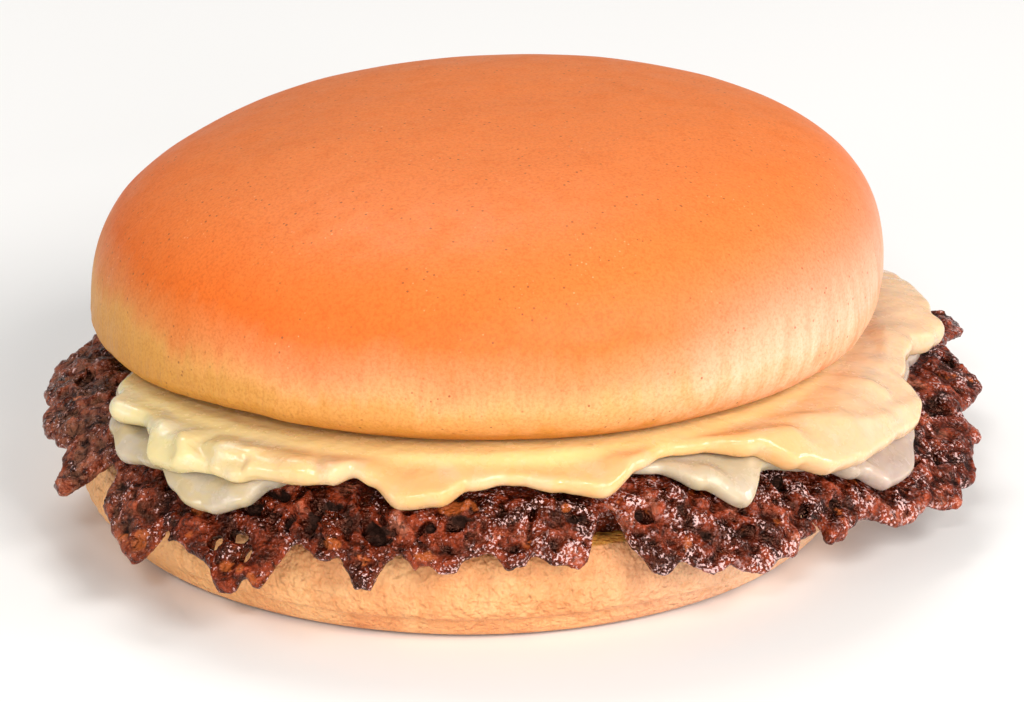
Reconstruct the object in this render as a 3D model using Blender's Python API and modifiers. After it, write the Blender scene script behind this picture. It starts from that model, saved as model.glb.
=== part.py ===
"""A smash burger: two halves of a soft bun round a thin patty with a crisp skirt, under two slices of melted cheese.

Metres, +Z up. The origin is the middle of the foot of the bun. The front, where the cheese hangs lowest, faces -Y,
and the patty juts out furthest towards +X. Angles are in degrees, anticlockwise from +X seen from above.
"""

import math

import bpy
from mathutils import Vector, noise

# The stack: levels on the axis. The lid and what it presses rise a little towards the front
BUN_RADIUS = 0.0548
GAP = 0.0003
HEEL_TOP = 0.0128
HEEL_LEAN = -0.010
PATTY_TOP = 0.0201
LID_LEAN = -0.040

# The heel of the bun
HEEL_FOOT_RADIUS = 0.0525
HEEL_FOOT_ROUND = 0.0035
HEEL_TOP_RADIUS = 0.0540
HEEL_CLEARANCE = 0.0014
HEEL_STEPS = 72

# The crown of the bun, which is thicker towards +X
CROWN_RIM_RADIUS = 0.0496
CROWN_BELLY = 0.0053
CROWN_DOME = 0.0254
CROWN_SQUARENESS = 2.68
CROWN_TAPER = 0.050
CROWN_SHIFT = (0.0020, 0.0023)
CROWN_DOME_ROWS = 11
CROWN_STEPS = 76
CRINKLE = 0.0005
RIM_WAVE = 0.0012

# The patty: a flat disc out to its shoulder, then a skirt that bends down over the heel
SHOULDER_RADIUS = 0.0500
SHOULDER_BEND = 0.0090
SKIRT_ROOT_THICKNESS = 0.0034
SKIRT_EDGE_THICKNESS = 0.0022
SKIRT_LEAST_THICKNESS = 0.0011
CRAG_SIZE = 0.0046
CRAG_DEPTH = 0.0021
CRAG_START = 0.0013
CRAG_RAMP = 0.0020
CHEESE_SINK = 0.0005
WELT_ANGLE = 180
WELT_HALF_WIDTH = 20
WELT_HEIGHT = 0.0024
WELT_END = 0.0085
PATTY_CORE = 0.5
PATTY_STEPS = 156

# The skirt's slope below level: steep in front, flat where it juts out at the sides
SKIRT_SLOPE = 40
SKIRT_SLOPE_CHANGES = [
    # angle, half width, change
    (275, 55, 13),
    (190, 24, -20),
    (14, 28, -31),
]

# The skirt's edge, angle and length from the shoulder: lobes where it spread and notches where it tore
SKIRT_EDGE = [
    (6, 0.0215),
    (14, 0.0232),
    (20, 0.0194),
    (28, 0.0186),
    (45, 0.0115),
    (75, 0.0095),
    (105, 0.0110),
    (135, 0.0080),
    (165, 0.0050),
    (178, 0.0112),
    (189, 0.0110),
    (201, 0.0125),
    (209, 0.0162),
    (214, 0.0092),
    (221, 0.0170),
    (228, 0.0194),
    (233, 0.0125),
    (240, 0.0196),
    (246, 0.0122),
    (254, 0.0124),
    (258, 0.0155),
    (261, 0.0108),
    (267, 0.0132),
    (273, 0.0108),
    (282, 0.0130),
    (289, 0.0080),
    (295, 0.0155),
    (309, 0.0187),
    (316, 0.0168),
    (321, 0.0188),
    (327, 0.0176),
    (341, 0.0245),
    (351, 0.0230),
    (358, 0.0234),
]
SKIRT_RAGGED = 0.0016

# Holes torn through the skirt: angle, distance out from the shoulder, half length round the skirt, half width
LACE_HOLES = [
    (236.8, 0.0142, 0.0011, 0.0010),
    (240.0, 0.0122, 0.0011, 0.0008),
    (242.0, 0.0152, 0.0010, 0.0009),
]

# The lower slice of cheese, thin and run in its corners; its edge is angle and reach past the shoulder
LOWER_CHEESE = {
    "thickness": 0.0015,
    "wave": 0.0,
    "edge": [
        (4, 0.0140),
        (12, 0.0178),
        (24, 0.0168),
        (38, 0.0090),
        (70, 0.0010),
        (110, 0.0060),
        (150, 0.0000),
        (185, -0.0060),
        (207, 0.0015),
        (218, 0.0084),
        (223, 0.0074),
        (231, 0.0104),
        (238, 0.0088),
        (246, 0.0028),
        (262, -0.0020),
        (284, -0.0024),
        (298, 0.0034),
        (306, 0.0096),
        (313, 0.0064),
        (322, 0.0092),
        (332, 0.0172),
        (342, 0.0120),
        (350, 0.0106),
        (356, 0.0122),
    ],
}

# The upper slice, turned an eighth of a turn on the lower one
UPPER_CHEESE = {
    "thickness": 0.0021,
    "wave": 0.0009,
    "edge": [
        (2, 0.0122),
        (12, 0.0162),
        (26, 0.0152),
        (40, 0.0070),
        (80, 0.0050),
        (120, -0.0010),
        (150, -0.0030),
        (180, -0.0060),
        (200, -0.0006),
        (212, 0.0044),
        (221, 0.0084),
        (227, 0.0074),
        (235, 0.0098),
        (246, 0.0052),
        (253, 0.0046),
        (262, 0.0068),
        (273, 0.0045),
        (285, 0.0049),
        (298, 0.0030),
        (306, 0.0042),
        (316, 0.0088),
        (326, 0.0118),
        (338, 0.0126),
        (349, 0.0092),
    ],
}
CHEESE_CORE = 0.4
CHEESE_STEPS = 92
CHEESE_RAGGED = 0.0007
CHEESE_SWELL = 0.25
CHEESE_STEP_START = 0.0022
CHEESE_STEP_WIDTH = 0.0028


def bump(angle, centre, half_width):
    """1 at the centre angle, falling smoothly to nothing about two half widths away."""
    away = (angle - centre + 180) % 360 - 180
    return math.exp(-0.9 * (away / half_width) ** 2)


def smooth_step(value):
    value = min(1.0, max(0.0, value))
    return value * value * (3 - 2 * value)


def edge_at(edge, angle):
    """The edge's value at an angle, smooth between its named angles and closed round the turn."""
    for (start, first), (end, second) in zip(edge, edge[1:] + edge[:1]):
        span = (end - start) % 360
        away = (angle - start) % 360
        if away <= span:
            return first + (second - first) * smooth_step(away / span)


def ripple(angle, turns, seed):
    """Smooth noise from -1 to 1 that closes round the burger, with about so many waves in a turn."""
    a = math.radians(angle)
    reach = turns / (2 * math.pi)
    return noise.noise(Vector((reach * math.cos(a), reach * math.sin(a), seed)))


def heel_top(y):
    return HEEL_TOP + HEEL_LEAN * y


# The drape: every layer above the heel follows the patty's top face

def skirt_slope(angle):
    changes = sum(change * bump(angle, centre, width) for centre, width, change in SKIRT_SLOPE_CHANGES)
    return math.radians(SKIRT_SLOPE + changes)


def on_drape(angle, along, lift):
    """A point this far along the patty's top face from its shoulder, inwards if negative, and lifted off the face."""
    a = math.radians(angle)
    slope = skirt_slope(angle)
    bend = min(max(along, 0) / SHOULDER_BEND, slope)
    beyond = max(0.0, along - SHOULDER_BEND * slope)
    radius = SHOULDER_RADIUS + min(along, 0) + SHOULDER_BEND * math.sin(bend) + beyond * math.cos(slope)
    drop = SHOULDER_BEND * (1 - math.cos(bend)) + beyond * math.sin(slope)
    height = PATTY_TOP + LID_LEAN * min(radius, SHOULDER_RADIUS) * math.sin(a) - drop
    radius += lift * math.sin(bend)
    height += lift * math.cos(bend)
    return Vector((radius * math.cos(a), radius * math.sin(a), height))


def skirt_length(angle):
    return edge_at(SKIRT_EDGE, angle) + SKIRT_RAGGED * ripple(angle, 110, 8.4)


def cheese_reach(slice_, angle):
    wander = CHEESE_RAGGED * ripple(angle, 30, 10000 * slice_["thickness"])
    return edge_at(slice_["edge"], angle) + wander


# Mesh helpers

def turned(name, profile, steps):
    """A closed mesh turned about Z from (radius, height) points that run down from the top of the axis to its foot."""
    wire = bpy.data.meshes.new(name)
    edges = [(i, i + 1) for i in range(len(profile) - 1)]
    wire.from_pydata([(radius, 0, height) for radius, height in profile], edges, [])
    guide = bpy.data.objects.new(name + "_profile", wire)
    bpy.context.scene.collection.objects.link(guide)
    screw = guide.modifiers.new("Turn", "SCREW")
    screw.steps = steps
    screw.render_steps = steps
    screw.use_merge_vertices = True
    screw.merge_threshold = 0.00001
    graph = bpy.context.evaluated_depsgraph_get()
    mesh = bpy.data.meshes.new_from_object(guide.evaluated_get(graph))
    bpy.data.objects.remove(guide)
    return mesh


def reshaped(mesh, place):
    """Moves each vertex to where place(radius, angle, height) puts it."""
    for vertex in mesh.vertices:
        x, y, z = vertex.co
        vertex.co = place(math.hypot(x, y), math.degrees(math.atan2(y, x)) % 360, z)
    mesh.update()
    return mesh


def material(name, colour, roughness):
    made = bpy.data.materials.new(name)
    made.use_nodes = True
    shader = made.node_tree.nodes["Principled BSDF"]
    shader.inputs["Base Color"].default_value = (*colour, 1)
    shader.inputs["Roughness"].default_value = roughness
    shader.inputs["Metallic"].default_value = 0
    return made


def add_part(name, mesh, finish, collection):
    mesh.name = name
    mesh.materials.clear()
    mesh.materials.append(finish)
    mesh.shade_smooth()
    part = bpy.data.objects.new(name, mesh)
    collection.objects.link(part)
    return part


def arc(centre, radius, start, end, count):
    """Points on an arc in the profile plane, from one angle to another, both ends included."""
    angles = [math.radians(start + (end - start) * i / count) for i in range(count + 1)]
    return [(centre[0] + radius[0] * math.cos(a), centre[1] + radius[1] * math.sin(a)) for a in angles]


# The parts

def heel_mesh():
    """The lower half of the bun: a flat foot, a wall that swells a little, and a cut top face."""
    belly = (BUN_RADIUS, 0.55 * HEEL_TOP)
    round_centre = (HEEL_FOOT_RADIUS - HEEL_FOOT_ROUND, HEEL_FOOT_ROUND)
    foot = arc(round_centre, (HEEL_FOOT_ROUND, HEEL_FOOT_ROUND), 0, -90, 3)
    lower_wall = (0.5 * (belly[0] + HEEL_FOOT_RADIUS) + 0.0006, 0.5 * belly[1] + 0.0008)
    profile = [(0, HEEL_TOP), (0.035, HEEL_TOP), (HEEL_TOP_RADIUS - 0.0008, HEEL_TOP)]
    profile += [(HEEL_TOP_RADIUS, HEEL_TOP - 0.0010), belly, lower_wall, *foot, (0.035, 0), (0, 0)]

    def place(radius, angle, height):
        share = height / HEEL_TOP
        wall = smooth_step((radius - 0.046) / 0.006) * max(0, math.sin(math.pi * share)) ** 0.5
        radius += wall * (0.0006 * ripple(angle, 9, 1.7) + 0.0003 * ripple(angle, 34, 5.2))
        x = radius * math.cos(math.radians(angle))
        y = radius * math.sin(math.radians(angle))
        return Vector((x, y, height + HEEL_LEAN * y * share))

    return reshaped(turned("heel", profile, HEEL_STEPS), place)


def lumps(point):
    """0 in the creases between lumps of mince and 1 on their crowns."""
    nearest = noise.voronoi(point / CRAG_SIZE + Vector((2.3, 2.3, 2.3)))[0]
    return 1 - min(1.0, nearest[0] / max(nearest[1], 1e-6))


def welt(angle, along):
    """How far the crust stands up where no cheese lies between the patty and the crown."""
    fall = smooth_step((WELT_END - along) / 0.006)
    return WELT_HEIGHT * bump(angle, WELT_ANGLE, WELT_HALF_WIDTH) * fall


def patty_mesh():
    """A disc whose shoulder and skirt follow the drape, with lumps of mince and a torn edge."""
    top_rows = [0.04, 0.16, 0.30, 0.44, 0.58, 0.72, 0.86, 0.96]
    under_rows = [0.97, 0.84, 0.66, 0.48, 0.30, 0.12]
    profile = [(0, 1), (0.30, 1), (0.435, 1), (0.47, 1), (PATTY_CORE, 1)]
    profile += [(PATTY_CORE + (1 - PATTY_CORE) * row, 1) for row in top_rows]
    profile += [(1, 0)]
    profile += [(PATTY_CORE + (1 - PATTY_CORE) * row, -1) for row in under_rows]
    profile += [(PATTY_CORE, -1), (0.30, -1), (0, -1)]

    def place(share, angle, side):
        """The profile is drawn as a share of the way out and a side: 1 on top, -1 underneath, 0 at the edge."""
        out = max(0.0, share - PATTY_CORE) / (1 - PATTY_CORE)
        along = out * skirt_length(angle)
        if share <= PATTY_CORE:
            along = SHOULDER_RADIUS * (share / PATTY_CORE - 1)
        covered = max(cheese_reach(UPPER_CHEESE, angle), cheese_reach(LOWER_CHEESE, angle))
        bare = smooth_step((along - covered - CRAG_START) / CRAG_RAMP)
        point = on_drape(angle, along, 0)
        crag = CRAG_DEPTH * (lumps(point) - 0.45 + 0.35 * noise.noise(point / 0.0016))
        if side > 0.5:
            crag += welt(angle, along)
        thickness = SKIRT_ROOT_THICKNESS + (SKIRT_EDGE_THICKNESS - SKIRT_ROOT_THICKNESS) * out
        if side > 0.5:
            lift = max(bare * crag - (1 - bare) * CHEESE_SINK, -0.35 * thickness)
        elif side > -0.5:
            lift = -0.65 * thickness
            along += 0.0004
        else:
            lift = -thickness - 0.25 * bare * max(0, crag)
        point = on_drape(angle, along, lift)
        if side < -0.5 and out <= 0.12:
            point.z = heel_top(point.y) + GAP
        if math.hypot(point.x, point.y) < BUN_RADIUS + HEEL_CLEARANCE:
            floor = heel_top(point.y) + GAP + (SKIRT_LEAST_THICKNESS if side > 0.5 else 0)
            point.z = max(point.z, floor)
        return point

    return reshaped(turned("patty", profile, PATTY_STEPS), place)


def lace_hole(number, angle, along, half_length, half_width, collection):
    """A cutter through the skirt, longer round the burger than down it."""
    bpy.ops.mesh.primitive_ico_sphere_add(subdivisions=2, radius=1)
    cutter = bpy.context.object
    cutter.name = f"lace_hole_{number}"
    normal = (on_drape(angle, along, 0.001) - on_drape(angle, along, 0)).normalized()
    cutter.rotation_mode = "QUATERNION"
    cutter.rotation_quaternion = normal.to_track_quat("Z", "Y")
    round_axis = Vector((-math.sin(math.radians(angle)), math.cos(math.radians(angle)), 0))
    local = cutter.rotation_quaternion.inverted() @ round_axis
    flat_axis = Vector((local.x, local.y, 0)).normalized()
    cutter.rotation_quaternion @= Vector((1, 0, 0)).rotation_difference(flat_axis)
    cutter.scale = (half_length, half_width, 0.005)
    cutter.location = on_drape(angle, along, -0.001)
    cutter.hide_render = True
    cutter.display_type = "WIRE"
    for owner in list(cutter.users_collection):
        owner.objects.unlink(cutter)
    collection.objects.link(cutter)


def off_shoulder(along):
    """0 on the flat of the stack, where the lid presses, and 1 once the skirt falls away from it."""
    return smooth_step((along - 0.0015) / 0.004)


def on_patty(angle, along):
    return GAP


def on_lower_slice(angle, along):
    """How far the upper slice is held off the drape by the lower one, which it runs down over at its edge."""
    past_edge = along - cheese_reach(LOWER_CHEESE, angle) - CHEESE_STEP_START
    full = LOWER_CHEESE["thickness"] * (1 + CHEESE_SWELL * off_shoulder(along)) + GAP
    return GAP + full * (1 - smooth_step(past_edge / CHEESE_STEP_WIDTH))


def cheese_mesh(name, slice_, under):
    """A slice draped on what is under it, with a rounded, slightly swollen edge."""
    rows = [0.12, 0.34, 0.56, 0.76, 0.92]
    profile = [(0, 1), (0.22, 1), (CHEESE_CORE, 1)]
    profile += [(CHEESE_CORE + (1 - CHEESE_CORE) * row, 1) for row in rows]
    profile += [(1, 0)]
    profile += [(CHEESE_CORE + (1 - CHEESE_CORE) * row, -1) for row in reversed(rows)]
    profile += [(CHEESE_CORE, -1), (0.22, -1), (0, -1)]
    thickness = slice_["thickness"]

    def place(share, angle, side):
        """The profile is drawn as in the patty: a share of the way out, and a side."""
        out = max(0.0, share - CHEESE_CORE) / (1 - CHEESE_CORE)
        reach = cheese_reach(slice_, angle)
        start = min(-0.002, reach - 0.008)
        along = start + (reach - start) * out
        if share <= CHEESE_CORE:
            along = (SHOULDER_RADIUS + start) * share / CHEESE_CORE - SHOULDER_RADIUS
        base = under(angle, along)
        free = off_shoulder(along)
        if side > 0.5:
            point = on_drape(angle, along, 0)
            wave = slice_["wave"] * (0.5 + 0.5 * noise.noise(point / 0.0085 + Vector((0, 0, 1.9))))
            swell = CHEESE_SWELL * smooth_step((out - 0.6) / 0.3)
            lift = base + thickness * (1 + free * swell) + free * wave
        elif side > -0.5:
            lift = base + 0.5 * thickness
            along += 0.45 * thickness
        else:
            lift = base
        return on_drape(angle, along, lift)

    return reshaped(turned(name, profile, CHEESE_STEPS), place)


def crown_mesh(base_level):
    """The upper half of the bun: a domed top, a belly, and a creased rim that turns in under it."""
    power = 2 / CROWN_SQUARENESS
    profile = [(0, CROWN_BELLY + CROWN_DOME)]
    for i in range(1, CROWN_DOME_ROWS + 1):
        a = math.radians(90 * (1 - i / CROWN_DOME_ROWS))
        profile.append((BUN_RADIUS * math.cos(a) ** power, CROWN_BELLY + CROWN_DOME * math.sin(a) ** power))
    rim = arc((CROWN_RIM_RADIUS, CROWN_BELLY), (BUN_RADIUS - CROWN_RIM_RADIUS, CROWN_BELLY), 0, -90, 5)
    profile += rim[1:] + [(0.030, 0), (0, 0)]
    lean = math.atan(LID_LEAN)

    def place(radius, angle, height):
        low = smooth_step(1 - height / (CROWN_BELLY + 0.004))
        outer = smooth_step((radius - CROWN_RIM_RADIUS + 0.001) / 0.003)
        radius *= 1 + 0.006 * outer * ripple(angle, 7, 12.3)
        radius += CRINKLE * low * outer * (ripple(angle, 24, 2.9) + 0.6 * ripple(angle, 62, 7.7))
        x = radius * math.cos(math.radians(angle))
        y = radius * math.sin(math.radians(angle))
        top = smooth_step(height / (CROWN_BELLY + CROWN_DOME))
        taper = CROWN_TAPER * x * min(1, height / CROWN_BELLY)
        height += top * 0.0007 * noise.noise(Vector((x, y, 0.02)) / 0.028)
        height += RIM_WAVE * low * outer * (0.5 + 0.5 * ripple(angle, 15, 4.4)) + taper
        return Vector(
            (
                x + CROWN_SHIFT[0],
                y * math.cos(lean) - height * math.sin(lean) + CROWN_SHIFT[1],
                y * math.sin(lean) + height * math.cos(lean) + base_level + LID_LEAN * CROWN_SHIFT[1],
            )
        )

    return reshaped(turned("crown", profile, CROWN_STEPS), place)


def main():
    for old in list(bpy.data.objects):
        bpy.data.objects.remove(old)
    burger = bpy.data.collections.new("smash_burger")
    cutters = bpy.data.collections.new("cutters")
    for collection in (burger, cutters):
        bpy.context.scene.collection.children.link(collection)

    bread = material("toasted_bread", (0.83, 0.50, 0.22), 0.75)
    crust = material("glazed_crust", (0.80, 0.36, 0.12), 0.38)
    meat = material("seared_beef", (0.10, 0.030, 0.018), 0.42)
    cheddar = material("melted_cheese", (0.90, 0.74, 0.33), 0.30)
    run_cheese = material("run_cheese", (0.86, 0.76, 0.52), 0.25)

    add_part("heel", heel_mesh(), bread, burger)
    patty = add_part("patty", patty_mesh(), meat, burger)
    for number, hole in enumerate(LACE_HOLES, 1):
        lace_hole(number, *hole, cutters)
    cut = patty.modifiers.new("Lace", "BOOLEAN")
    cut.operand_type = "COLLECTION"
    cut.collection = cutters
    cut.operation = "DIFFERENCE"
    add_part("cheese_lower", cheese_mesh("cheese_lower", LOWER_CHEESE, on_patty), run_cheese, burger)
    add_part("cheese_upper", cheese_mesh("cheese_upper", UPPER_CHEESE, on_lower_slice), cheddar, burger)
    stack = PATTY_TOP + 3 * GAP + LOWER_CHEESE["thickness"] + UPPER_CHEESE["thickness"]
    add_part("crown", crown_mesh(stack), crust, burger)


main()
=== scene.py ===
import math
import random
from functools import lru_cache

import bmesh
import bpy
import numpy as np
from mathutils import Matrix, Vector, noise


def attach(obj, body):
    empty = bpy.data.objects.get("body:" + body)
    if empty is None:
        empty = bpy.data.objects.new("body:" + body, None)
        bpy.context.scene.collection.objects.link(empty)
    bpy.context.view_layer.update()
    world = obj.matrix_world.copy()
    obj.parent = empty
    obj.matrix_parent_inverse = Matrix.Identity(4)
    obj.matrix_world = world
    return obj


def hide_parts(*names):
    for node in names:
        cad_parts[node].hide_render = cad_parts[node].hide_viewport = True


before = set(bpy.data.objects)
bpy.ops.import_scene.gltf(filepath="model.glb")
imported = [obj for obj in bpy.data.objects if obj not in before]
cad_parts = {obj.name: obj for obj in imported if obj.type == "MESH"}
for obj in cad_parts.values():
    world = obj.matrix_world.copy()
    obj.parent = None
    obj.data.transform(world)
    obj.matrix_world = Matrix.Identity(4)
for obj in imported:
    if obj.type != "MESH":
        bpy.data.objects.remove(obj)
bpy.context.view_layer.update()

scene = bpy.context.scene
random.seed(14)


# camera, light and floor

studio = {
    "target": (0.0055, 0.0, 0.0201),
    "elevation": 22,
    "distance": 0.62,
    "lens": 156.28,
    "worldStrength": 0.34,
    "floorColour": (0.90, 0.895, 0.885),
    "lights": [
        # name, place, width, height, watts, colour
        ("keySoftbox", (0.58, -0.84, 0.80), 0.46, 0.46, 9.4, (1.0, 0.965, 0.925)),
        ("lowFront", (0.06, -1.15, 0.24), 0.26, 0.06, 1.4, (1.0, 0.97, 0.94)),
        ("rightPanel", (1.05, -0.25, 0.28), 0.40, 0.30, 4.8, (1.0, 0.96, 0.95)),
        ("leftFill", (-0.90, -0.75, 0.24), 0.40, 0.26, 3.2, (0.98, 0.985, 1.0)),
        ("topRear", (-0.20, 0.60, 1.10), 0.60, 0.40, 4.8, (1.0, 0.99, 0.97)),
        ("sparkStrip", (-0.12, -0.95, 0.66), 0.20, 0.05, 2.6, (1.0, 0.99, 0.97)),
        ("sparkRight", (0.42, -1.00, 0.42), 0.06, 0.16, 2.0, (1.0, 0.99, 0.97)),
    ],
}


def aimAt(place, target):
    back = (Vector(place) - Vector(target)).normalized()
    turn = back.to_track_quat("Z", "Y").to_matrix().to_4x4()
    return Matrix.Translation(Vector(place)) @ turn


def setUpStudio():
    lift = math.radians(studio["elevation"])
    away = Vector((0, -math.cos(lift), math.sin(lift)))
    target = Vector(studio["target"])
    camera = bpy.data.cameras.new("camera")
    camera.lens = studio["lens"]
    camera.sensor_width = 36
    cameraObject = bpy.data.objects.new("camera", camera)
    cameraObject.matrix_world = aimAt(target + away * studio["distance"], target)
    scene.collection.objects.link(cameraObject)
    scene.camera = cameraObject

    for name, place, width, height, watts, colour in studio["lights"]:
        lamp = bpy.data.lights.new(name, "AREA")
        lamp.shape = "RECTANGLE"
        lamp.size, lamp.size_y = width, height
        lamp.energy = watts
        lamp.color = colour
        lampObject = bpy.data.objects.new(name, lamp)
        lampObject.matrix_world = aimAt(place, target)
        scene.collection.objects.link(lampObject)

    world = bpy.data.worlds.new("studioWorld")
    world.use_nodes = True
    world.node_tree.nodes["Background"].inputs["Color"].default_value = (1, 1, 1, 1)
    world.node_tree.nodes["Background"].inputs["Strength"].default_value = studio["worldStrength"]
    scene.world = world
    scene.view_settings.view_transform = "Standard"  # the photo's colours are bright and full


# shared shapes: the levels of the stack and the drape that every layer follows

stack = {
    "bunRadius": 0.0548,
    "gap": 0.0003,
    "heelTop": 0.0128,
    "heelLean": -0.010,
    "pattyTop": 0.0201,
    "lidLean": -0.040,
}

drape = {
    "shoulder": 0.0500,
    "bend": 0.0090,
    "slope": 40,
    "slopeChanges": [(275, 55, 13), (190, 24, -20), (14, 28, -31)],  # angle, half width, change
}


def bump(angle, centre, halfWidth):
    away = (angle - centre + 180) % 360 - 180
    return math.exp(-0.9 * (away / halfWidth) ** 2)


def smoothStep(value):
    value = min(1.0, max(0.0, value))
    return value * value * (3 - 2 * value)


def edgeAt(edge, angle):
    for (start, first), (end, second) in zip(edge, edge[1:] + edge[:1]):
        span = (end - start) % 360
        away = (angle - start) % 360
        if away <= span:
            return first + (second - first) * smoothStep(away / span)


def onCircle(radius, angle):
    a = math.radians(angle)
    return radius * math.cos(a), radius * math.sin(a)


def ripple(angle, turns, seed):
    # noise that closes on itself after a full turn
    return noise.noise(Vector((*onCircle(turns / (2 * math.pi), angle), seed)))


def heelTopAt(y):
    return stack["heelTop"] + stack["heelLean"] * y


@lru_cache(None)
def skirtSlope(angle):
    changes = sum(change * bump(angle, centre, width) for centre, width, change in drape["slopeChanges"])
    return math.radians(drape["slope"] + changes)


def onDrape(angle, along, lift):
    # a point this far past the patty's shoulder along its top face, lifted off the face
    slope = skirtSlope(angle)
    bend = min(max(along, 0) / drape["bend"], slope)
    beyond = max(0.0, along - drape["bend"] * slope)
    radius = drape["shoulder"] + min(along, 0) + drape["bend"] * math.sin(bend) + beyond * math.cos(slope)
    drop = drape["bend"] * (1 - math.cos(bend)) + beyond * math.sin(slope)
    lean = stack["lidLean"] * min(radius, drape["shoulder"]) * math.sin(math.radians(angle))
    height = stack["pattyTop"] + lean - drop
    radius += lift * math.sin(bend)
    height += lift * math.cos(bend)
    return Vector((*onCircle(radius, angle), height))


def spunMesh(profile, steps, place):
    # a sixteenth is spun and doubled round the axis, then each point goes where place says
    bm = bmesh.new()
    verts = [bm.verts.new((radius, 0, height)) for radius, height in profile]
    edges = [bm.edges.new(pair) for pair in zip(verts, verts[1:])]
    turn = 2 * math.pi / 16
    bmesh.ops.spin(bm, geom=verts + edges, axis=(0, 0, 1), cent=(0, 0, 0), angle=turn, steps=steps // 16)
    for _ in range(4):
        copied = bmesh.ops.duplicate(bm, geom=bm.verts[:] + bm.edges[:] + bm.faces[:])["geom"]
        moved = [item for item in copied if isinstance(item, bmesh.types.BMVert)]
        bmesh.ops.rotate(bm, verts=moved, cent=(0, 0, 0), matrix=Matrix.Rotation(turn, 3, "Z"))
        turn *= 2
    bmesh.ops.remove_doubles(bm, verts=bm.verts, dist=0.000002)
    for vert in bm.verts:
        x, y, z = vert.co
        vert.co = place(math.hypot(x, y), round(math.degrees(math.atan2(y, x)) % 360, 3), z)
    bmesh.ops.recalc_face_normals(bm, faces=bm.faces)
    return bm


def arc(centre, radii, start, end, count):
    angles = [math.radians(start + (end - start) * i / count) for i in range(count + 1)]
    return [(centre[0] + radii[0] * math.cos(a), centre[1] + radii[1] * math.sin(a)) for a in angles]


def spaced(start, end, count):
    return [start + (end - start) * i / count for i in range(count + 1)]


def addPiece(name, bm, material, node):
    mesh = bpy.data.meshes.new(name)
    bm.to_mesh(mesh)
    bm.free()
    mesh.shade_smooth()
    mesh.materials.append(material)
    piece = bpy.data.objects.new(name, mesh)
    scene.collection.objects.link(piece)
    finishPiece(piece, node)


def finishPiece(piece, node):
    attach(piece, "root")
    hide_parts(node)
    print(piece.name, sum(len(face.vertices) - 2 for face in piece.data.polygons), "triangles")


# material nodes

def newMaterial(name, **shaderValues):
    material = bpy.data.materials.new(name)
    material.use_nodes = True
    tree = material.node_tree
    shader = tree.nodes["Principled BSDF"]
    for socket, value in shaderValues.items():
        shader.inputs[socket.replace("_", " ")].default_value = value
    coords = tree.nodes.new("ShaderNodeTexCoord").outputs["Object"]
    return material, tree, shader, coords


def put(tree, socket, value):
    if isinstance(value, bpy.types.NodeSocket):
        tree.links.new(value, socket)
    elif isinstance(value, tuple) and len(value) == 3 and socket.type == "RGBA":
        socket.default_value = (*value, 1)
    else:
        socket.default_value = value


def stretched(tree, coords, scale, shift=(0, 0, 0)):
    mapping = tree.nodes.new("ShaderNodeMapping")
    put(tree, mapping.inputs["Vector"], coords)
    mapping.inputs["Scale"].default_value = scale
    mapping.inputs["Location"].default_value = shift
    return mapping.outputs["Vector"]


def grain(tree, coords, size, detail=3.0, rough=0.5, twist=0.0):
    # cloudy noise whose features are about this many metres
    tex = tree.nodes.new("ShaderNodeTexNoise")
    put(tree, tex.inputs["Vector"], coords)
    tex.inputs["Scale"].default_value = 1 / size
    tex.inputs["Detail"].default_value = detail
    tex.inputs["Roughness"].default_value = rough
    tex.inputs["Distortion"].default_value = twist
    return tex.outputs["Fac"]


def cells(tree, coords, size):
    # how far away the nearest of many scattered points is
    tex = tree.nodes.new("ShaderNodeTexVoronoi")
    put(tree, tex.inputs["Vector"], coords)
    tex.inputs["Scale"].default_value = 1 / size
    return tex.outputs["Distance"]


def ramp(tree, fac, stops):
    node = tree.nodes.new("ShaderNodeValToRGB")
    put(tree, node.inputs["Fac"], fac)
    elements = node.color_ramp.elements
    while len(elements) < len(stops):
        elements.new(0.5)
    for element, (where, colour) in zip(elements, stops):
        element.position = where
        element.color = (*colour, 1)
    return node.outputs["Color"]


def between(tree, value, low, high, toLow=0.0, toHigh=1.0):
    node = tree.nodes.new("ShaderNodeMapRange")
    node.interpolation_type = "SMOOTHSTEP"
    put(tree, node.inputs["Value"], value)
    node.inputs["From Min"].default_value = low
    node.inputs["From Max"].default_value = high
    node.inputs["To Min"].default_value = toLow
    node.inputs["To Max"].default_value = toHigh
    return node.outputs["Result"]


def calc(tree, operation, a, b=0.0, c=0.0):
    node = tree.nodes.new("ShaderNodeMath")
    node.operation = operation
    for socket, value in zip(node.inputs, (a, b, c)):
        put(tree, socket, value)
    return node.outputs["Value"]


def times(tree, a, b):
    return calc(tree, "MULTIPLY", a, b)


def mixed(tree, fac, a, b, blend="MIX"):
    node = tree.nodes.new("ShaderNodeMix")
    node.data_type = "RGBA"
    node.blend_type = blend
    put(tree, node.inputs["Factor"], fac)
    put(tree, node.inputs[6], a)  # 6 and 7 are the two colour sockets
    put(tree, node.inputs[7], b)
    return node.outputs[2]


def tinted(tree, colour, tint, share=1.0):
    return mixed(tree, share, colour, tint, "MULTIPLY")


def relief(tree, shader, layers):
    # bump layers one over another: height, depth in metres, strength
    normal = None
    for height, depth, strength in layers:
        node = tree.nodes.new("ShaderNodeBump")
        put(tree, node.inputs["Height"], height)
        node.inputs["Distance"].default_value = depth
        node.inputs["Strength"].default_value = strength
        if normal:
            tree.links.new(normal, node.inputs["Normal"])
        normal = node.outputs["Normal"]
    tree.links.new(normal, shader.inputs["Normal"])


def axisOf(tree, coords, axis):
    node = tree.nodes.new("ShaderNodeSeparateXYZ")
    put(tree, node.inputs["Vector"], coords)
    return node.outputs[axis]


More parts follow.
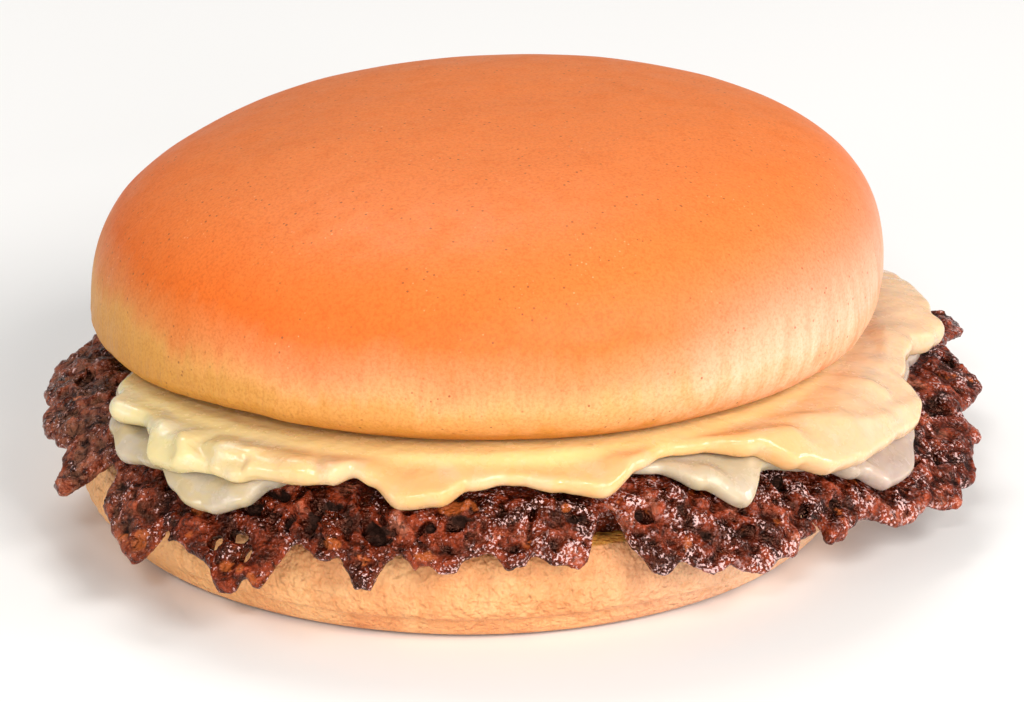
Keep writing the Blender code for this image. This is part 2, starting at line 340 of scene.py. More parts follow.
def radiusOf(tree, coords):
    length = tree.nodes.new("ShaderNodeVectorMath")
    length.operation = "LENGTH"
    tree.links.new(stretched(tree, coords, (1, 1, 0)), length.inputs[0])
    return length.outputs["Value"]


# the floor

def makeFloor():
    bm = bmesh.new()
    bmesh.ops.create_grid(bm, x_segments=1, y_segments=1, size=4.0)
    mesh = bpy.data.meshes.new("floor")
    bm.to_mesh(mesh)
    bm.free()
    material, tree, shader, _ = newMaterial("paleFloor", Roughness=0.75)
    put(tree, shader.inputs["Base Color"], studio["floorColour"])
    mesh.materials.append(material)
    floor = bpy.data.objects.new("floor", mesh)
    scene.collection.objects.link(floor)


# the heel, the lower half of the bun

heel = {
    "footRadius": 0.0525,
    "footRound": 0.0035,
    "topRadius": 0.0540,
    "cutRadius": 0.0532,
    "flatRadii": (0, 0.012, 0.024, 0.036, 0.046, 0.050),
    "wallStart": 0.046,
    "wallRamp": 0.006,
    "steps": 608,
    "wallRows": 44,
    "pebble": 0.00020,
    "leftSwell": (215, 24, 0.0009),  # angle, half width, extra radius
    "baseColour": (0.77, 0.345, 0.130),
    "paleColour": (0.85, 0.450, 0.190),
    "deepColour": (0.70, 0.275, 0.095),
    # painted light: the right colour paler and pinker where the light falls brightest, the left colour paler
    # to lift the shade there
    "rightColour": (0.85, 0.540, 0.350),
    "leftColour": (0.82, 0.430, 0.165),
    "toastColour": (0.33, 0.105, 0.030),
    # the crumb of the cut top, with painted light to lift its shade
    "litCrumbColour": (0.95, 0.40, 0.070),
    "underColour": (0.42, 0.17, 0.055),
}


def heelMaterial():
    material, tree, shader, coords = newMaterial(
        "toastedBread", Roughness=0.62, Subsurface_Weight=0.12, Subsurface_Scale=0.002
    )
    height = axisOf(tree, coords, "Z")
    tall = stretched(tree, coords, (1, 1, 0.70))
    patches = grain(tree, tall, 0.0060, 4, 0.6)
    mottle = grain(tree, tall, 0.0019, 4, 0.62)
    side = axisOf(tree, coords, "X")
    specks = cells(tree, coords, 0.0016)
    tones = [(0.34, heel["deepColour"]), (0.50, heel["baseColour"]), (0.66, heel["paleColour"])]
    colour = ramp(tree, patches, tones)
    # painted light: paler and pinker on the right where the light falls brightest, paler on the left to lift
    # the shade there
    colour = mixed(tree, between(tree, side, 0.010, 0.040, 0, 0.7), colour, heel["rightColour"])
    colour = mixed(tree, between(tree, side, -0.015, -0.040, 0, 0.7), colour, heel["leftColour"])
    fine = [(0.30, (0.84, 0.72, 0.58)), (0.47, (1.0, 1.0, 1.0)), (0.72, (1.0, 1.0, 0.97))]
    colour = tinted(tree, colour, ramp(tree, mottle, fine), 0.70)
    colour = mixed(tree, between(tree, specks, 0.16, 0.04, 0, 0.35), colour, heel["deepColour"])
    # toasted near the foot, darker underneath, and on the cut top the crumb with painted light, brighter to
    # lift the shade in the notch under the patty
    wave = calc(tree, "MULTIPLY_ADD", grain(tree, coords, 0.006, 3, 0.6), 0.0022, height)
    toast = between(tree, wave, 0.0026, 0.0008, 0, 0.4)
    colour = mixed(tree, toast, colour, heel["toastColour"])
    under = between(tree, height, 0.0006, 0.0001)
    colour = mixed(tree, under, colour, heel["underColour"])
    inside = between(tree, radiusOf(tree, coords), 0.0534, 0.0526)
    cut = times(tree, inside, between(tree, height, 0.0100, 0.0116))
    colour = mixed(tree, cut, colour, heel["litCrumbColour"])
    tree.links.new(colour, shader.inputs["Base Color"])
    put(tree, shader.inputs["Roughness"], between(tree, mottle, 0.3, 0.7, 0.72, 0.52))
    relief(tree, shader, [
        (grain(tree, coords, 0.00085, 1, 0.5), 0.0009, 0.85),
        (grain(tree, coords, 0.00050, 2, 0.5), 0.0003, 0.60),
    ])
    return material


def makeHeel():
    belly = (stack["bunRadius"], 0.55 * stack["heelTop"])
    roundOff = heel["footRound"]
    foot = arc((heel["footRadius"] - roundOff, roundOff), (roundOff, roundOff), 0, -90, 10)
    top = stack["heelTop"]
    corners = [(heel["cutRadius"], top), (heel["topRadius"], top - 0.0010), belly]
    corners += [(0.5 * (belly[0] + heel["footRadius"]) + 0.0006, 0.5 * belly[1] + 0.0008), foot[0]]
    rows = heel["wallRows"]
    wall = []
    for i in range(rows + 1):
        where = min(i / rows * (len(corners) - 1), len(corners) - 1.0001)
        a, b = corners[int(where)], corners[int(where) + 1]
        share = where - int(where)
        wall.append((a[0] + (b[0] - a[0]) * share, a[1] + (b[1] - a[1]) * share))
    wall += foot[1:]
    for _ in range(10):  # the corners of the wall are eased
        threes = zip(wall, wall[1:], wall[2:])
        eased = [tuple((m + 2 * n + o) / 4 for m, n, o in zip(*three)) for three in threes]
        wall = [wall[0], *eased, wall[-1]]
    profile = [(radius, top) for radius in heel["flatRadii"]] + wall + [(0.040, 0), (0.025, 0), (0, 0)]

    def place(radius, angle, height):
        share = height / top
        outer = smoothStep((radius - heel["wallStart"]) / heel["wallRamp"])
        wall = outer * max(0, math.sin(math.pi * share)) ** 0.9
        radius += wall * (0.0006 * ripple(angle, 9, 1.7) + 0.0003 * ripple(angle, 34, 5.2))
        swollen, halfWidth, swell = heel["leftSwell"]
        outer = smoothStep((radius - heel["wallStart"]) / heel["wallRamp"])
        radius += outer * swell * bump(angle, swollen, halfWidth)
        x, y = onCircle(radius, angle)
        skin = noise.noise(Vector((x, y, 0.7 * height)) / 0.0013)
        skin += 0.6 * noise.noise(Vector((x, y, 0.4 * height)) / 0.003)
        x, y = onCircle(radius + wall * heel["pebble"] * skin, angle)
        return Vector((x, y, height + stack["heelLean"] * y * share))

    addPiece("heelBun", spunMesh(profile, heel["steps"], place), heelMaterial(), "heel")


# the crown, the glazed upper half of the bun

crown = {
    "rimRadius": 0.0496,
    "belly": 0.0053,
    "dome": 0.0254,
    "squareness": 2.68,
    "taper": 0.050,
    "shift": (0.0020, 0.0023),
    "crinkle": 0.0005,
    "rimWave": 0.0012,
    "sags": [(204, 20, 0.0019), (264, 26, -0.0004)],  # angle, half width, drop of the rim
    "steps": 528,
    "domeRows": 62,
    "rimRows": 20,
    "fineCrinkle": 0.00009,
    "dimples": 0.00014,
    "topColour": (0.75, 0.190, 0.038),
    "sideColour": (0.78, 0.150, 0.019),
    "bandColour": (0.82, 0.345, 0.130),
    "rimColour": (0.58, 0.200, 0.016),
    # painted sheen low on the right, partly a paler floury skin
    "paleColour": (0.92, 0.59, 0.40),
    "shoulderColour": (0.81, 0.240, 0.084),
    # painted sheen low on the right
    "paintedSheenColour": (0.84, 0.330, 0.200),
    "goldColour": (0.60, 0.27, 0.045),
    "fleckColour": (0.95, 0.50, 0.26),
    "prickColour": (0.25, 0.075, 0.020),
}


def crownMaterial(baseLevel):
    material, tree, shader, coords = newMaterial(
        "glazedCrust", Roughness=0.50, Specular_IOR_Level=0.22,
        Subsurface_Weight=0.08, Subsurface_Scale=0.002
    )
    height = axisOf(tree, coords, "Z")
    side = axisOf(tree, coords, "X")
    broad = grain(tree, coords, 0.018, 3, 0.5)
    streaks = grain(tree, stretched(tree, coords, (1, 1, 0.16)), 0.0022, 4, 0.6)
    level = calc(tree, "MULTIPLY_ADD", calc(tree, "SUBTRACT", broad, 0.5), 0.007, height)
    level = calc(tree, "MULTIPLY_ADD", calc(tree, "SUBTRACT", streaks, 0.5), 0.005, level)
    level = between(tree, level, baseLevel, baseLevel + 0.030)
    colour = ramp(tree, level, [
        (0.00, crown["rimColour"]),
        (0.03, crown["rimColour"]),
        (0.09, crown["bandColour"]),
        (0.19, crown["bandColour"]),
        (0.32, crown["shoulderColour"]),
        (0.55, crown["sideColour"]),
        (1.00, crown["topColour"]),
    ])
    mottle = grain(tree, coords, 0.0045, 5, 0.62)
    mottles = [(0.32, (0.95, 0.90, 0.84)), (0.5, (1.0, 1.0, 1.0)), (0.7, (1.0, 1.0, 1.0))]
    colour = tinted(tree, colour, ramp(tree, mottle, mottles), 0.8)
    # painted sheen low on the right, where the light glances off the glaze: a pinkish glow and paler
    # streaks, the streaks partly a paler floury skin
    paintedSheenMask = times(tree, between(tree, side, 0.018, 0.050), between(tree, height, 0.052, 0.036))
    colour = mixed(tree, times(tree, paintedSheenMask, 0.85), colour, crown["paintedSheenColour"])
    right = times(tree, between(tree, side, 0.012, 0.046), between(tree, height, 0.044, 0.030))
    right = times(tree, right, between(tree, streaks, 0.28, 0.66))
    colour = mixed(tree, times(tree, right, 0.75), colour, crown["paleColour"])
    # golden low on the left and along the rim
    left = times(tree, between(tree, side, -0.014, -0.046), between(tree, height, 0.048, 0.034))
    colour = mixed(tree, left, colour, tinted(tree, colour, (0.80, 0.86, 0.46)))
    golden = between(tree, level, 0.23, 0.12)
    golden = times(tree, golden, between(tree, side, 0.030, -0.025, 0.25, 0.75))
    colour = mixed(tree, golden, colour, crown["goldColour"])
    # the fine leathery grain of the crust
    leather = grain(tree, coords, 0.00042, 2, 0.6)
    grains = [(0.34, (0.86, 0.78, 0.70)), (0.5, (1.0, 1.0, 1.0)), (0.66, (1.05, 1.10, 1.16))]
    colour = tinted(tree, colour, ramp(tree, leather, grains), 0.75)
    # light flecks of flour and dark pinpricks
    flecks = between(tree, cells(tree, coords, 0.0011), 0.15, 0.05)
    flecks = times(tree, flecks, between(tree, grain(tree, coords, 0.009, 2), 0.48, 0.66, 0, 0.5))
    colour = mixed(tree, flecks, colour, crown["fleckColour"])
    pricks = cells(tree, stretched(tree, coords, (1, 1, 1), shift=(0.3, 0.1, 0.2)), 0.0014)
    pricks = between(tree, pricks, 0.16, 0.08)
    pricks = times(tree, pricks, between(tree, grain(tree, coords, 0.009, 2), 0.40, 0.58, 0.1, 0.8))
    colour = mixed(tree, pricks, colour, crown["prickColour"])
    tree.links.new(colour, shader.inputs["Base Color"])
    put(tree, shader.inputs["Roughness"], between(tree, mottle, 0.3, 0.7, 0.54, 0.42))
    low = between(tree, height, baseLevel + 0.015, baseLevel + 0.004)
    tall = grain(tree, stretched(tree, coords, (1, 1, 0.22)), 0.0012, 4, 0.6)
    relief(tree, shader, [
        (times(tree, tall, low), 0.0005, 0.5),
        (grain(tree, coords, 0.0024, 4, 0.6), 0.0003, 0.35),
        (grain(tree, coords, 0.00045, 2, 0.6), 0.00010, 0.35),
    ])
    return material


def makeCrown(baseLevel):
    radius, belly, dome = stack["bunRadius"], crown["belly"], crown["dome"]
    power = 2 / crown["squareness"]
    profile = [(0, belly + dome)]
    for turn in spaced(90, 0, crown["domeRows"])[1:]:
        a = math.radians(turn)
        profile.append((radius * math.cos(a) ** power, belly + dome * max(0, math.sin(a)) ** power))
    rim = arc((crown["rimRadius"], belly), (radius - crown["rimRadius"], belly), 0, -90, crown["rimRows"])
    profile += rim[1:] + [(0.046, 0), (0.040, 0), (0.030, 0), (0.015, 0), (0, 0)]
    lean = math.atan(stack["lidLean"])
    shift = crown["shift"]

    def place(radius, angle, height):
        low = smoothStep(1 - height / (belly + 0.004))
        outer = smoothStep((radius - crown["rimRadius"] + 0.001) / 0.003)
        radius *= 1 + 0.006 * outer * ripple(angle, 7, 12.3)
        radius += crown["crinkle"] * low * outer * (ripple(angle, 24, 2.9) + 0.6 * ripple(angle, 62, 7.7))
        band = smoothStep(1 - height / (belly + 0.010)) * outer
        radius += crown["fineCrinkle"] * band * (
            ripple(angle, 150, 3.1 + height / 0.006) + 0.6 * ripple(angle, 300, 9.4 + height / 0.003)
        )
        x, y = onCircle(radius, angle)
        sag = sum(drop * bump(angle, centre, width) for centre, width, drop in crown["sags"])
        height -= sag * outer * smoothStep(1 - height / (belly + 0.009))
        top = smoothStep(height / (belly + dome))
        taper = crown["taper"] * x * min(1, height / belly)
        height += top * 0.0007 * noise.noise(Vector((x, y, 0.02)) / 0.028)
        height += top * crown["dimples"] * noise.noise(Vector((x, y, 0.05)) / 0.008)
        height += crown["rimWave"] * low * outer * (0.5 + 0.5 * ripple(angle, 15, 4.4)) + taper
        return Vector((
            x + shift[0],
            y * math.cos(lean) - height * math.sin(lean) + shift[1],
            y * math.sin(lean) + height * math.cos(lean) + baseLevel + stack["lidLean"] * shift[1],
        ))

    shape = spunMesh(profile, crown["steps"], place)
    addPiece("crownBun", shape, crownMaterial(baseLevel), "crown")


# the two slices of cheese

lowerCheese = {
    "thickness": 0.0015,
    "wave": 0.0,
    "lip": 0.35,
    "colour": (0.55, 0.455, 0.33),
    "paleColour": (0.64, 0.56, 0.43),
    "deepColour": (0.48, 0.39, 0.24),
    "thinColour": (0.36, 0.27, 0.19),
    "leftColour": (0.50, 0.42, 0.31),
    "rightColour": (0.44, 0.33, 0.32),
    "thinShare": 0.50,
    "underRimLightShare": 0.0,
    "folds": [],
    "edge": [  # angle, reach past the shoulder
        (4, 0.0126), (12, 0.0124), (24, 0.012), (38, 0.007), (70, 0.001), (110, 0.006), (150, 0.0000),
        (185, -0.006), (206, 0.0012), (213, 0.0058), (218, 0.0078), (222, 0.0068), (225.5, 0.0066),
        (229, 0.0088), (232, 0.0098), (236, 0.0095), (240, 0.0078), (243, 0.0048), (247, 0.002),
        (262, -0.002), (284, -0.0024), (297, 0.0024), (302, 0.006), (307, 0.0096), (312, 0.0058),
        (321, 0.008), (327, 0.0122), (330, 0.0158), (335, 0.0165), (340, 0.014), (344, 0.0118),
        (347, 0.0118), (350, 0.0096), (356, 0.0098),
    ],
}

upperCheese = {
    "thickness": 0.0021,
    "wave": 0.0008,
    "lip": 0.06,
    "colour": (0.77, 0.445, 0.185),
    "paleColour": (0.79, 0.500, 0.240),
    "deepColour": (0.75, 0.420, 0.165),
    "thinColour": (0.72, 0.53, 0.35),
    "leftColour": (0.62, 0.62, 0.42),
    "rightColour": (0.72, 0.56, 0.41),
    "thinShare": 0.4,
    "underRimLightShare": 0.7,
    "folds": [
        # angle and along of both ends, half width, height
        (234.5, 0.0002, 232.0, 0.002, 0.0006, -0.0011), (232.0, 0.002, 232.0, 0.0046, 0.0006, -0.0011),
        (232.0, 0.0046, 235.5, 0.006, 0.0006, -0.0011), (235.5, 0.006, 240.0, 0.0054, 0.0006, -0.0009),
        (237.0, 0.001, 235.0, 0.003, 0.0009, 0.001), (235.5, 0.0036, 240.0, 0.0036, 0.0011, 0.001),
        (229.6, 0.0005, 229.0, 0.004, 0.0009, 0.0009), (229.0, 0.004, 232.0, 0.0068, 0.0009, 0.0009),
        (246.5, -0.001, 251.0, 0.0056, 0.0007, -0.0008), (243.5, 0.002, 247.0, 0.0042, 0.0014, 0.0005),
        (215.5, 0.0000, 225.0, 0.004, 0.0009, 0.0009), (209.0, 0.002, 214.5, 0.0042, 0.0012, 0.0005),
        (296.0, 0.0005, 316.0, 0.0052, 0.0011, 0.0006), (318.0, 0.003, 334.0, 0.0095, 0.0013, 0.0006),
        (337.0, 0.0035, 338.0, 0.0065, 0.0014, 0.0008), (336.0, 0.0095, 341.0, 0.0115, 0.0013, 0.0006),
    ],
    "edge": [
        (1.5, 0.013), (4, 0.0148), (7, 0.0136), (13, 0.0142), (22, 0.0142), (30, 0.0122), (40, 0.006),
        (80, 0.005), (120, -0.001), (150, -0.003), (180, -0.006), (200, -0.0018), (208, 0.0018),
        (214, 0.0042), (219, 0.0032), (223, 0.004), (226.5, 0.0064), (230, 0.0062), (234, 0.0056),
        (239, 0.006), (243, 0.005), (247, 0.005), (252, 0.0045), (254.5, 0.003), (257, 0.0036),
        (261, 0.0056), (266, 0.005), (270, 0.003), (275, 0.0024), (282, 0.0036), (288, 0.0046),
        (294, 0.0028), (298, 0.0018), (304, 0.0024), (310, 0.0046), (315, 0.0076), (320, 0.0101),
        (326, 0.0109), (333, 0.0113), (339, 0.0122), (342.5, 0.0114), (345, 0.0078), (348, 0.0082),
        (352, 0.008), (357, 0.0088),
    ],
}

slices = {"lower": lowerCheese, "upper": upperCheese}

cheese = {
    "core": 0.4,
    "steps": 640,
    "rows": 44,
    "ragged": 0.0007,
    "fineRagged": 0.00022,
    "swell": 0.40,
    "stepStart": 0.0022,
    "stepWidth": 0.0046,
    "ooze": 0.00030,
    # painted light beside the crown's rim, to lift the shade under its overhang
    "underRimLightColour": (0.95, 0.740, 0.330),
}


@lru_cache(None)
def cheeseReach(which, angle):
    own = slices[which]
    wander = cheese["ragged"] * ripple(angle, 30, 10000 * own["thickness"])
    return edgeAt(own["edge"], angle) + wander


def offShoulder(along):
    return smoothStep((along - 0.0015) / 0.004)


def onPatty(angle, along):
    return stack["gap"]


def onLowerSlice(angle, along):
    pastEdge = along - cheeseReach("lower", angle) - cheese["stepStart"]
    full = lowerCheese["thickness"] * (1 + cheese["swell"] * offShoulder(along)) + stack["gap"]
    return stack["gap"] + full * (1 - smoothStep(pastEdge / cheese["stepWidth"]))


def foldHeight(folds, angle, along):
    # rounded ridges on the drape, each between two points
    total = 0.0
    for angleA, alongA, angleB, alongB, halfWidth, height in folds:
        degree = math.radians(1) * (drape["shoulder"] + 0.006)
        if abs((angle - 0.5 * (angleA + angleB) + 180) % 360 - 180) > 20:
            continue
        ax, ay, bx, by = angleA * degree, alongA, angleB * degree, alongB
        px, py = angle * degree, along
        dx, dy = bx - ax, by - ay
        share = min(1, max(0, ((px - ax) * dx + (py - ay) * dy) / (dx * dx + dy * dy)))
        away = math.hypot(px - ax - share * dx, py - ay - share * dy)
        raised = height * math.exp(-((away / halfWidth) ** 2))
        total = raised if abs(raised) > abs(total) else total
    return total


def cheeseBody(which, under):
    own = slices[which]
    core, thickness = cheese["core"], own["thickness"]
    rows = spaced(0, 1, cheese["rows"])[1:-1]
    profile = [(0, 1), (0.12, 1), (0.22, 1), (0.32, 1), (core, 1)]
    profile += [(core + (1 - core) * row, 1) for row in rows]
    profile += [(1, math.sin(math.radians(turn))) for turn in spaced(78, -78, 12)]
    profile += [(core + (1 - core) * row, -1) for row in (0.94, 0.8, 0.6, 0.4, 0.2)]
    profile += [(core, -1), (0.2, -1), (0, -1)]

    def place(share, angle, side):
        out = max(0.0, share - core) / (1 - core)
        reach = cheeseReach(which, angle)
        reach += cheese["fineRagged"] * (ripple(angle, 95, 3.3) + 0.5 * ripple(angle, 210, 6.1))
        start = min(-0.002, reach - 0.008)
        along = start + (reach - start) * out
        if share <= core:
            along = (drape["shoulder"] + start) * share / core - drape["shoulder"]
        base = under(angle, along)
        free = offShoulder(along)
        point = onDrape(angle, along, 0)
        wave = own["wave"] * (0.5 + 0.5 * noise.noise(point / 0.0085 + Vector((0, 0, 1.9))))
        swell = cheese["swell"] * smoothStep((out - 0.35) / 0.45)
        lip = own["lip"] * thickness * free * math.exp(-(((reach - along) / 0.0016 - 0.8) ** 2))
        full = thickness * (1 + free * swell) + free * wave + lip
        full += free * cheese["ooze"] * noise.noise(point / 0.0034 + Vector((5.1, 0, 0)))
        full += free * foldHeight(own["folds"], angle, along)
        if side > 0.99:
            lift = base + full
        elif side > -0.99:
            rounded = math.sqrt(1 - side * side)
            along += 0.45 * thickness * rounded
            lift = base + full * (0.5 + 0.5 * side)
        else:
            lift = base
        return onDrape(angle, along, lift)

    return spunMesh(profile, cheese["steps"], place)


def cheeseMaterial(name, look):
    material, tree, shader, coords = newMaterial(
        name, Roughness=0.24, Subsurface_Weight=0.45, Subsurface_Scale=0.0035, IOR=1.45
    )
    shader.inputs["Subsurface Radius"].default_value = (1.0, 0.62, 0.25)
    tones = [(0.32, look["deepColour"]), (0.52, look["colour"]), (0.70, look["paleColour"])]
    colour = ramp(tree, grain(tree, coords, 0.012, 3, 0.55), tones)
    cloud = grain(tree, coords, 0.0055, 3, 0.5)
    thin = times(tree, between(tree, cloud, 0.50, 0.68), look["thinShare"])
    colour = mixed(tree, thin, colour, look["thinColour"])
    left = between(tree, axisOf(tree, coords, "X"), -0.012, -0.040, 0, 0.75)
    colour = mixed(tree, left, colour, look["leftColour"])
    folds = times(tree, between(tree, cloud, 0.56, 0.44), left)
    colour = mixed(tree, folds, colour, mixed(tree, 1.0, colour, (1.04, 0.97, 0.72), "MULTIPLY"))
    # painted light: paler and creamier beside the crown's rim, to lift the shade under its overhang; its own
    # colour towards the right
    underRimLight = between(tree, radiusOf(tree, coords), 0.0538, 0.0510, 0, look["underRimLightShare"])
    colour = mixed(tree, underRimLight, colour, cheese["underRimLightColour"])
    right = between(tree, axisOf(tree, coords, "X"), 0.036, 0.056, 0, 0.55)
    colour = mixed(tree, right, colour, look["rightColour"])
    tree.links.new(colour, shader.inputs["Base Color"])
    smears = grain(tree, coords, 0.0028, 3, 0.6)
    put(tree, shader.inputs["Roughness"], between(tree, smears, 0.3, 0.7, 0.12, 0.32))
    relief(tree, shader, [
        (grain(tree, coords, 0.0030, 2, 0.5), 0.0006, 0.45),
        (grain(tree, coords, 0.0009, 3, 0.6), 0.00012, 0.30),
    ])
    return material


def makeCheese():
    run = cheeseMaterial("runCheese", lowerCheese)
    melted = cheeseMaterial("meltedCheese", upperCheese)
    addPiece("lowerCheeseSlice", cheeseBody("lower", onPatty), run, "cheese_lower")
    addPiece("upperCheeseSlice", cheeseBody("upper", onLowerSlice), melted, "cheese_upper")


# the smashed patty with its lacy crust

patty = {
    "rootThickness": 0.0034,
    "edgeThickness": 0.0022,
    "leastThickness": 0.0011,
    "heelClearance": 0.0014,
    "cragSize": 0.0034,
    "cragDepth": 0.0013,
    "cragStart": 0.0013,
    "cragRamp": 0.0020,
    "cheeseSink": 0.0005,
    "welt": (180, 20, 0.0010, 0.0085),  # angle, half width, height, end
    "core": 0.5,
    "ragged": 0.0004,
    "rounding": 0.0006,  # what the rolled edge adds
    "edge": [  # angle, length of the skirt from the shoulder
        (0, 0.022), (2.5, 0.0229), (4, 0.0218), (6.5, 0.0203), (11, 0.0196), (14, 0.0206),
        (17.5, 0.0252), (24, 0.0276), (28, 0.0268), (31, 0.022), (36, 0.0165), (45, 0.0115),
        (75, 0.0095), (105, 0.011), (135, 0.008), (165, 0.0048), (172, 0.004), (176.5, 0.0096),
        (179.5, 0.0101), (182.5, 0.0108), (186.0, 0.0109), (188, 0.0108), (191.5, 0.0099),
        (194, 0.0119), (197.5, 0.0127), (200, 0.012), (203.5, 0.0115), (206, 0.0135), (208.8, 0.0167),
        (210.4, 0.0168), (211.4, 0.0146), (212.0, 0.0104), (212.8, 0.009), (215.0, 0.0092),
        (216.4, 0.0104), (217.2, 0.0136), (217.8, 0.0151), (219, 0.0157), (221, 0.0165),
        (222.4, 0.0178), (224, 0.0182), (225, 0.0192), (227, 0.0199), (227.9, 0.0192), (228.6, 0.0142),
        (230, 0.0146), (232, 0.0154), (234.4, 0.0162), (237.4, 0.0173), (238.5, 0.0192),
        (239.6, 0.0202), (241.2, 0.0201), (241.9, 0.0177), (242.7, 0.0176), (243.7, 0.0187),
        (244.5, 0.0188), (245.1, 0.0168), (245.7, 0.0143), (247.2, 0.0119), (248.0, 0.0118),
        (249.2, 0.0127), (251.3, 0.0136), (253.3, 0.0128), (255.0, 0.013), (255.5, 0.0158),
        (256.3, 0.0166), (258.3, 0.0165), (258.9, 0.0142), (260.2, 0.0126), (261.2, 0.0117),
        (262.3, 0.0122), (263.3, 0.0138), (264.0, 0.013), (265.2, 0.013), (266.5, 0.0141),
        (268.5, 0.0138), (269.2, 0.0121), (271.1, 0.0115), (272.7, 0.011), (273.7, 0.0119),
        (274.5, 0.0136), (277.0, 0.0133), (277.8, 0.0122), (279.3, 0.0123), (281.0, 0.0133),
        (283.4, 0.0141), (284.6, 0.0137), (285.4, 0.0124), (286.3, 0.0098), (287.6, 0.0072),
        (289.2, 0.0065), (290.1, 0.0075), (290.7, 0.0121), (292.3, 0.0142), (293.0, 0.0159),
        (294.6, 0.0164), (297.0, 0.0154), (298.8, 0.0167), (301.3, 0.0178), (303.5, 0.0169),
        (304.6, 0.0183), (308.0, 0.0192), (310.4, 0.0178), (312.7, 0.0186), (314.6, 0.0165),
        (317.4, 0.0166), (318.4, 0.019), (321.2, 0.0191), (322.5, 0.0181), (325.2, 0.0177),
        (327.6, 0.0189), (330.0, 0.0214), (333.0, 0.0222), (336.4, 0.0221), (339.2, 0.0247),
        (340.6, 0.0253), (343.1, 0.024), (344.4, 0.0251), (346, 0.0248), (349.5, 0.023),
        (351.5, 0.0228), (352.6, 0.0236), (353.8, 0.0232), (354.7, 0.0207), (356, 0.0202),
        (358, 0.0212),
    ],
    "holes": [  # angle, along, half length round, half width
        (237.0, 0.0138, 0.001, 0.0013), (239.6, 0.0122, 0.0015, 0.001), (241.6, 0.0142, 0.0008, 0.0012),
        (318.2, 0.0157, 0.0009, 0.0019), (316.6, 0.0133, 0.0011, 0.0007),
    ],
    "pits": [  # angle, along, half size round, half size along, depth
        (240.5, 0.008, 0.0018, 0.001, 0.002), (249.6, 0.0082, 0.0011, 0.0017, 0.0022),
        (251.0, 0.006, 0.0018, 0.0007, 0.0018), (258.0, 0.009, 0.0021, 0.0015, 0.0022),
        (265.0, 0.008, 0.0008, 0.0007, 0.0014), (269.0, 0.0068, 0.0014, 0.0008, 0.0012),
        (243.0, 0.0052, 0.002, 0.0009, 0.0018), (284.0, 0.0074, 0.0013, 0.0007, 0.0013),
        (316.0, 0.0084, 0.0013, 0.001, 0.0019), (322.0, 0.014, 0.0009, 0.0008, 0.0014),
        (293.0, 0.0078, 0.001, 0.0008, 0.0012), (301.0, 0.0122, 0.0012, 0.0007, 0.0012),
        (306.5, 0.0132, 0.0012, 0.0007, 0.0012), (246.0, 0.0094, 0.0007, 0.0007, 0.0011),
        (218.5, 0.011, 0.001, 0.0006, 0.0011), (352.0, 0.015, 0.0012, 0.0009, 0.0016),
        (344.0, 0.0185, 0.001, 0.001, 0.0014), (6.0, 0.018, 0.0012, 0.001, 0.0014),
        (189.0, 0.004, 0.0013, 0.0011, 0.0018),
    ],
    "wet": [  # the same for the wettest places, smoothest and with the most painted glints, without a depth
        (267.5, 0.0132, 0.0014, 0.001), (272.5, 0.009, 0.0024, 0.0011), (276.0, 0.0078, 0.0014, 0.0011),
        (257.5, 0.0155, 0.0012, 0.001), (246.0, 0.0105, 0.0014, 0.0012), (240.0, 0.0135, 0.001, 0.0016),
        (282.0, 0.0112, 0.0026, 0.0014), (293.5, 0.0062, 0.002, 0.0008), (299.0, 0.01, 0.0024, 0.001),
        (300.5, 0.0162, 0.002, 0.0012), (306.5, 0.0176, 0.0026, 0.0012), (311.5, 0.0168, 0.0016, 0.001),
        (318.0, 0.0104, 0.0014, 0.0012), (328.0, 0.015, 0.0026, 0.0012), (331.5, 0.0196, 0.002, 0.0014),
        (221.0, 0.012, 0.0012, 0.0012), (228.0, 0.0128, 0.0012, 0.001),
    ],
    "browned": [  # the same for the orange places, without a depth
        (227.0, 0.0168, 0.0013, 0.0016), (224.0, 0.0174, 0.0007, 0.0009),
        (252.6, 0.0112, 0.0013, 0.0009), (239.6, 0.0162, 0.0011, 0.0008),
        (241.6, 0.0166, 0.0008, 0.0008), (243.6, 0.0174, 0.001, 0.0007),
        (283.0, 0.0058, 0.0008, 0.0006), (286.4, 0.0104, 0.0009, 0.001),
        (298.0, 0.0126, 0.0009, 0.0009), (268.0, 0.0048, 0.0026, 0.0012),
        (264.5, 0.0118, 0.0014, 0.0008), (233.0, 0.0102, 0.0012, 0.001),
    ],
    "steps": 704,
    "rows": 46,
    "strands": 1100,
    "twigs": 14,
    "crackDepth": 0.0009,
    "voxel": 0.00038,
    "mostTriangles": 190000,
    "colours": [  # from the dark places to the pale ones
        (0.40, (0.026, 0.003, 0.001)),
        (0.50, (0.125, 0.014, 0.003)),
        (0.59, (0.240, 0.036, 0.012)),
        (0.71, (0.410, 0.135, 0.075)),
    ],
    "fatColour": (0.46, 0.105, 0.022),
    "farSheenColour": (0.27, 0.115, 0.065),
    # painted glints
    "glintColour": (0.82, 0.54, 0.52),
    # painted shade in the deep pits
    "pitShadeColour": (0.010, 0.005, 0.004),
}


@lru_cache(None)
def skirtLength(angle):
    ragged = patty["ragged"] * ripple(angle, 110, 8.4) + 0.0004 * ripple(angle, 260, 2.2)
    return edgeAt(patty["edge"], angle) - patty["rounding"] + ragged


@lru_cache(None)
def coveredTo(angle):
    return max(cheeseReach("upper", angle), cheeseReach("lower", angle))


def lumps(point, size):
    nearest = noise.voronoi(point / size + Vector((2.3, 2.3, 2.3)))[0]
    return 1 - min(1.0, nearest[0] / max(nearest[1], 1e-6))


def weltHeight(angle, along):
    centre, halfWidth, height, end = patty["welt"]
    return height * bump(angle, centre, halfWidth) * smoothStep((end - along) / 0.006)


